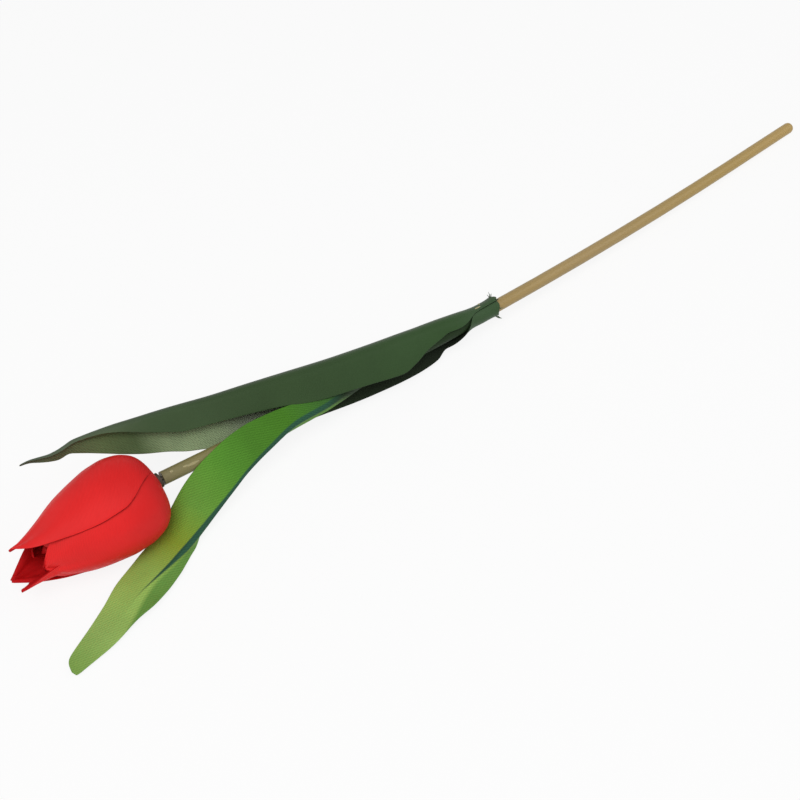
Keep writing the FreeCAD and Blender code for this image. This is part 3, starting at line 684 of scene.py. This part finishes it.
# Painted shade: the near-black greens from the wrap to about 290 mm. The pale stretch from 306 to 336 mm is
# the cloth's greyer inside green, partly painted sheen.
long_inside = cloth_material(
    "dark leaf cloth inside",
    ((195, "#1A2218"), (268, "#202C1A"), (290, "#4F6146"), (306, "#A6B498"), (318, "#9CB086"),
     (336, "#98AC80"), (346, "#5C7048"), (356, "#66794E"), (386, "#6A765C")),
    thread=1.3, slant=1.6, rib=0.6, thread_shade=0.42, bump=0.7, roughness=0.75, lift=0.25)
# Painted shade: the darker greens towards the clasp, and all three bands, which darken the narrow half, a
# line along the crease and the clasp.
short_outside = cloth_material(
    "bright leaf cloth", ((-71, "#3C5A34"), (0, "#3F6A38"), (25, "#498022"), (50, "#5A9630"), (66, "#72A83E"),
                          (80, "#96B03A"), (92, "#9CC45C"), (118, "#A2C86A"), (134, "#88B254")),
    bands=(("#6C9C46", 8.0, 8.2, 1.6, 94, 132), ("#2F5A44", -0.45, 1.25, 0.5, 80, 106),
           ("#26391F", 0.0, 12.0, 6.0, -8, 10)),
    thread=1.0, thread_shade=0.28, bump=0.45, lift=0.12)
# Painted shade: the dark green over the clasp.
short_inside = cloth_material(
    "bright leaf cloth inside",
    ((-71, "#26391F"), (0, "#26391F"), (20, "#3D6A4A"), (134, "#5C8C52")), thread_shade=0.2)

for petal, petal_area, petal_flat in petals:
    petal.data.materials.append(petal_outside)
    petal.data.materials.append(petal_inside)
long_leaf.data.materials.append(long_outside)
long_leaf.data.materials.append(long_inside)
short_leaf.data.materials.append(short_inside)
short_leaf.data.materials.append(short_outside)

# %% [markdown]
# ## The leaves in place
# Each leaf is one sheet that starts in its wrap round the stem and goes on as the free blade. The
# CAD sheath and blade of each leaf are hidden, and the sheet's placing is baked into its mesh.

# %% Hide the CAD leaves and bake the cloth in place
long_start = stem_place(207 * MM)[0]
long_end = stem_place(217 * MM)[0]
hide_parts("long_leaf_sheath", "long_leaf_blade")
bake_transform(long_leaf)
short_start, short_end = short_leaf_fold(-5), short_leaf_fold(8)
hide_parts("short_leaf_sheath", "short_leaf_blade")
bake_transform(short_leaf)

print("leaf areas", round(long_leaf_area * 1e6), round(short_leaf_area * 1e6))

# %% [markdown]
# ## Stem, wire, plug and foam
# These keep their CAD shapes. The stem is extruded plastic: olive tan, a little waxy, with faint
# lines along it and slow changes of tone. The hidden pieces get plain plastic, foam and wire; the
# plug's brown plastic is made near black as painted shade of the gap at the neck.


# %% Materials for the carried-over pieces
def moulded_material(name, stops, roughness, bump, stretch=1.0, lift=0.08, metallic=0.0):
    """A material on Object coordinates, with colours along X and grain drawn out along X."""
    material = bpy.data.materials.new(name)
    material.use_nodes = True
    tree = material.node_tree
    shader = tree.nodes["Principled BSDF"]
    coordinates = tree.nodes.new("ShaderNodeTexCoord")
    parted = tree.nodes.new("ShaderNodeSeparateXYZ")
    tree.links.new(coordinates.outputs["Object"], parted.inputs[0])
    colour = colour_stops(tree, math_node(tree, "DIVIDE", parted.outputs[0], MM), stops)
    mapping = tree.nodes.new("ShaderNodeMapping")
    mapping.inputs["Scale"].default_value = (stretch, 1.0, 1.0)
    tree.links.new(coordinates.outputs["Object"], mapping.inputs["Vector"])
    dye = tree.nodes.new("ShaderNodeGroup")
    dye.node_tree = tone
    dye.inputs["Lift"].default_value = lift
    dye.inputs["Size"].default_value = 150.0
    tree.links.new(mapping.outputs[0], dye.inputs["Place"])
    tree.links.new(colour, dye.inputs["Colour"])
    tree.links.new(dye.outputs[0], shader.inputs["Base Color"])
    grain = tree.nodes.new("ShaderNodeTexNoise")
    grain.inputs["Scale"].default_value = 1800.0
    grain.inputs["Detail"].default_value = 2.0
    tree.links.new(mapping.outputs[0], grain.inputs["Vector"])
    relief = tree.nodes.new("ShaderNodeBump")
    relief.inputs["Strength"].default_value = bump
    relief.inputs["Distance"].default_value = 0.05 * MM
    tree.links.new(grain.outputs["Fac"], relief.inputs["Height"])
    tree.links.new(relief.outputs[0], shader.inputs["Normal"])
    shader.inputs["Roughness"].default_value = roughness
    shader.inputs["Metallic"].default_value = metallic
    return material


def plain(colour):
    """The same colour all along a piece."""
    return (-300, colour), (300, colour)


def dress(node, material):
    """Give a CAD node one material."""
    slots = frame["nodes"][node].data.materials
    slots.clear()
    slots.append(material)


STEM_COLOURS = ((-145, "#77704A"), (-128, "#827A4A"), (-100, "#8F824C"), (0, "#A0864E"), (60, "#A68C58"),
                (140, "#AC8F4C"), (204, "#B49450"))
dress("stem_tube", moulded_material("stem plastic", STEM_COLOURS, 0.42, 0.2, stretch=0.05))
dress("stem_wire", moulded_material("steel wire", plain("#57504A"), 0.45, 0.1, metallic=1.0))
# Painted shade: the plug's brown is made near black, for the gap at the neck.
dress("bloom_plug", moulded_material("plug plastic", plain("#33240F"), 0.5, 0.1, lift=0.4))
dress("bud_core", moulded_material("bud foam", plain("#8A1014"), 0.9, 0.5))
rib_paint = moulded_material("rib paint", plain("#33502A"), 0.5, 0.1)
dress("long_leaf_rib", rib_paint)
dress("short_leaf_rib", rib_paint)
glue_material = moulded_material("hot glue", plain("#8E8A66"), 0.2, 0.1)
dress("sheath_glue", glue_material)

# %% [markdown]
# ## Threads and glue
# Where the sheath was cut, a few threads of the cloth stand out, and small drops of glue stayed on
# the wrap and on the stem near the bloom. They are tiny, but they show how the flower was made.


# %% Small trim
def small_piece(name, bm, body, material):
    """Make an object from a bmesh that rides on a body."""
    mesh = bpy.data.meshes.new(name)
    for face in bm.faces:
        face.smooth = True
    bm.to_mesh(mesh)
    bm.free()
    piece = bpy.data.objects.new(name, mesh)
    bpy.context.scene.collection.objects.link(piece)
    mesh.materials.append(material)
    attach(piece, body)


def round_the_stem(run, roll, radius):
    """A point beside the stem at a roll from straight up towards +Y, and the way out from it."""
    point, tangent = stem_place(run * MM)
    side, rise = level_axes(tangent)
    outward = side * math.sin(math.radians(roll)) + rise * math.cos(math.radians(roll))
    return point + outward * radius * MM, outward, tangent


# Roll round the stem in degrees, then length, lean back and swirl aside in mm
THREADS = ((36, 4.6, 0.2, -0.3), (44, 3.4, -0.8, 0.4), (30, 3.0, 0.8, -0.2), (52, 2.2, 1.6, 0.3),
           (-140, 2.6, 1.5, 0.3), (-148, 2.9, 1.9, -0.4), (-132, 2.2, 1.0, 0.1), (-156, 2.0, 1.6, 0.2),
           (-60, 1.5, 1.1, 0.3), (110, 1.4, 1.3, -0.3))
THREAD_RUN = 194.0
THREAD_ROOT = 3.8
THREAD_PARTS = 4
bm = bmesh.new()
for roll, length, back, swirl in THREADS:
    root, outward, tangent = round_the_stem(THREAD_RUN, roll, THREAD_ROOT)
    aside = outward.cross(tangent)
    before = root
    for step in range(1, THREAD_PARTS + 1):
        share = step / THREAD_PARTS
        tip = root + (outward * length * share * 0.6 - tangent * back * share ** 2
                      + aside * swirl * share ** 3) * MM
        wide = (0.24 - 0.18 * (share - 0.25)) * MM
        narrow = (0.24 - 0.18 * share) * MM
        made = bmesh.ops.create_cone(bm, cap_ends=True, segments=6, radius1=wide, radius2=narrow,
                                     depth=(tip - before).length * 1.04)
        spin = (tip - before).to_track_quat("Z", "Y").to_matrix().to_4x4()
        bmesh.ops.transform(bm, matrix=Matrix.Translation((tip + before) / 2) @ spin, verts=made["verts"])
        before = tip
thread_material = moulded_material("loose thread", plain("#465C40"), 0.7, 0.1)
small_piece("frayed_threads", bm, "stem", thread_material)

# Run, roll, distance from the axis, and half the drop's length, width and height in mm
DROPS = ((333.5, -38, 2.45, 2.4, 0.5, 0.22), (336.4, -30, 2.45, 1.0, 0.4, 0.2),
         (341.6, -20, 2.45, 0.7, 0.5, 0.3), (200.4, 34, 4.15, 0.5, 0.5, 0.35),
         (203.0, 8, 4.2, 1.8, 0.4, 0.2))
bm = bmesh.new()
for run, roll, radius, long_way, wide_way, height in DROPS:
    centre, outward, tangent = round_the_stem(run, roll, radius)
    made = bmesh.ops.create_uvsphere(bm, u_segments=16, v_segments=10, radius=1)
    axes = Matrix((tangent * long_way, outward.cross(tangent) * wide_way, outward * height)).transposed()
    place = Matrix.Translation(centre) @ (axes * MM).to_4x4()
    bmesh.ops.transform(bm, matrix=place, verts=made["verts"])
drop_material = moulded_material("glue drop", plain("#A39A6C"), 0.12, 0.05)
small_piece("glue_drops", bm, "stem", drop_material)
print("trim", len(THREADS), "threads,", len(DROPS), "drops")

# %% [markdown]
# ## Floor, light and camera
# The flower lies on a plain white table. The floor is mostly white by itself for the camera, with a
# share of real shading, so the flower keeps a soft shadow. The light is a large soft lamp above and
# beside the camera, a weaker one on the foot's side, and an even white world. The camera stands
# where the photograph was taken from. Its place and direction were fitted by a separate script to
# the stem's line and its width in the photograph.


# %% Floor
def sight_rays(tree):
    """1 for rays that show a surface: to the camera, off gloss or through glass."""
    rays = tree.nodes.new("ShaderNodeLightPath")
    shiny = math_node(tree, "MAXIMUM", rays.outputs["Is Glossy Ray"], rays.outputs["Is Transmission Ray"])
    return math_node(tree, "MAXIMUM", rays.outputs["Is Camera Ray"], shiny)


FLOOR_GLOW = 0.87
bm = bmesh.new()
bmesh.ops.create_grid(bm, x_segments=1, y_segments=1, size=3.0)
floor_mesh = bpy.data.meshes.new("floor")
bm.to_mesh(floor_mesh)
bm.free()
floor = bpy.data.objects.new("floor", floor_mesh)
bpy.context.scene.collection.objects.link(floor)
floor_material = bpy.data.materials.new("white table")
floor_material.use_nodes = True
tree = floor_material.node_tree
floor_shader = tree.nodes["Principled BSDF"]
floor_shader.inputs["Base Color"].default_value = (0.97, 0.97, 0.97, 1)
floor_shader.inputs["Roughness"].default_value = 0.9
floor_shader.inputs["Specular IOR Level"].default_value = 0.0
glow = tree.nodes.new("ShaderNodeEmission")
glow.inputs["Strength"].default_value = 1.0
share = math_node(tree, "MULTIPLY", sight_rays(tree), FLOOR_GLOW)
mix = tree.nodes.new("ShaderNodeMixShader")
tree.links.new(share, mix.inputs[0])
tree.links.new(floor_shader.outputs[0], mix.inputs[1])
tree.links.new(glow.outputs[0], mix.inputs[2])
tree.links.new(mix.outputs[0], tree.nodes["Material Output"].inputs["Surface"])
floor.data.materials.append(floor_material)

# %% World and lamps
# What the world lights with, and how much more it shows where it is seen
WORLD_LIGHT, WORLD_EXTRA = 0.33, 0.67
world =bpy.data.worlds.new("white studio")
bpy.context.scene.world = world
world.use_nodes = True
tree = world.node_tree
background = tree.nodes["Background"]
background.inputs["Color"].default_value = (1, 1, 1, 1)
strength = math_node(tree, "MULTIPLY_ADD", sight_rays(tree), WORLD_EXTRA)
strength.node.inputs[2].default_value = WORLD_LIGHT
tree.links.new(strength, background.inputs["Strength"])

AIM = Vector((-0.03, 0.0, 0.01))


def add_lamp(name, place, size, power):
    """Add a square area lamp that faces the flower."""
    data = bpy.data.lights.new(name, "AREA")
    data.size = size
    data.energy = power
    lamp = bpy.data.objects.new(name, data)
    lamp.location = place
    lamp.rotation_mode = "QUATERNION"
    lamp.rotation_quaternion = (AIM - Vector(place)).to_track_quat("-Z", "Y")
    bpy.context.scene.collection.objects.link(lamp)


add_lamp("soft key", (-0.55, -0.35, 1.0), 0.7, 6.8)
add_lamp("soft fill", (0.8, -0.5, 0.7), 0.8, 2.2)

# %% Camera
FOCAL_PIXELS = 1300
FRAME_PIXELS = 800
SENSOR_WIDTH = 36.0
EYE_FROM_FOOT = Vector((-479.21, -243.04, 360.86 - 2.5)) * MM
camera_data = bpy.data.cameras.new("camera")
camera = bpy.data.objects.new("camera", camera_data)
bpy.context.scene.collection.objects.link(camera)
bpy.context.scene.camera = camera
camera_data.sensor_width = SENSOR_WIDTH
camera_data.lens = SENSOR_WIDTH * FOCAL_PIXELS / FRAME_PIXELS
camera_data.clip_start, camera_data.clip_end = 0.01, 10
look = Vector((0.468, 0.4942, -0.7327)).normalized()
right = look.cross(UP).normalized()
upward = right.cross(look)
eye = FOOT_POINT + EYE_FROM_FOOT
turn = Matrix((right, upward, -look)).transposed().to_4x4()
camera.matrix_world = Matrix.Translation(eye) @ turn
bpy.context.scene.view_settings.view_transform = "Standard"
